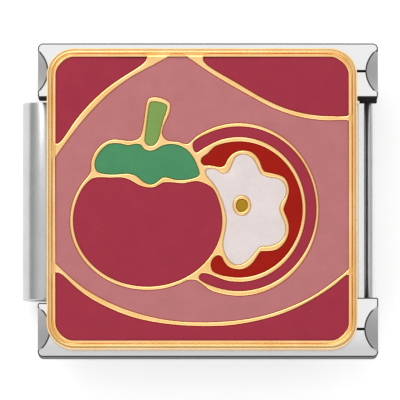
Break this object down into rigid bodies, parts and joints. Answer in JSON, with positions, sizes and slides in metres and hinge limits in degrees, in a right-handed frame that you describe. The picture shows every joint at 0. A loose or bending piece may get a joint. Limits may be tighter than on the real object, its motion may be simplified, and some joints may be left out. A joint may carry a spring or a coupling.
{
  "type": "italian charm bracelet link",
  "caption": "Modular steel bracelet link with a gold-rimmed enamel plate of a mangosteen, sprung side bows and a hinged rear shell with a hook.",
  "frame": {"origin": "on the surface that the link rests on, below the middle of its outline", "axes": "+Z is the outward normal of the picture, +X the picture's right, +Y the picture's top"},
  "size_m": [0.0102, 0.009, 0.004],
  "materials": {
    "polished_steel": "polished stainless steel",
    "brushed_steel": "fine satin stainless steel",
    "spring_steel": "rolled spring strip",
    "gold": "polished yellow gold",
    "enamel_crimson": "smooth opaque enamel",
    "enamel_rose": "smooth opaque enamel",
    "enamel_leaf_green": "smooth opaque enamel",
    "enamel_green": "smooth opaque enamel",
    "enamel_red": "smooth opaque enamel",
    "enamel_pale": "smooth opaque enamel",
    "enamel_olive": "smooth opaque enamel"
  },
  "bodies": {
    "front": {"front_frame": "polished_steel", "catch_rod": "brushed_steel", "stretch_spring_upper": "spring_steel", "stretch_spring_lower": "spring_steel", "face_plate": "gold", "enamel_corner_upper_left": "enamel_crimson", "enamel_corner_upper_right": "enamel_crimson", "enamel_lower_border": "enamel_crimson", "enamel_background": "enamel_rose", "enamel_stem": "enamel_leaf_green", "enamel_calyx": "enamel_green", "enamel_fruit": "enamel_crimson", "enamel_rind_outer": "enamel_crimson", "enamel_rind_inner": "enamel_red", "enamel_flesh": "enamel_pale", "enamel_seed": "enamel_olive"},
    "bows": {"side_bow_upper": "brushed_steel", "side_bow_lower": "brushed_steel"},
    "rear": {"rear_shell": "brushed_steel", "fold_spring": "spring_steel"}
  },
  "joints": [
    {"name": "stretch_slide", "type": "slide", "parent": "front", "child": "bows", "axis": [-1, 0, 0], "range_m": [0, 0.0012], "stiffness_N_per_m": 800, "deforming": ["stretch_spring_upper", "stretch_spring_lower"]},
    {"name": "fold_hinge", "type": "hinge", "parent": "bows", "child": "rear", "pos_m": [0.0039, 0, 0.0007], "axis": [0, -1, 0], "range_deg": [0, 30], "stiffness_Nm_per_rad": 0.002}
  ]
}
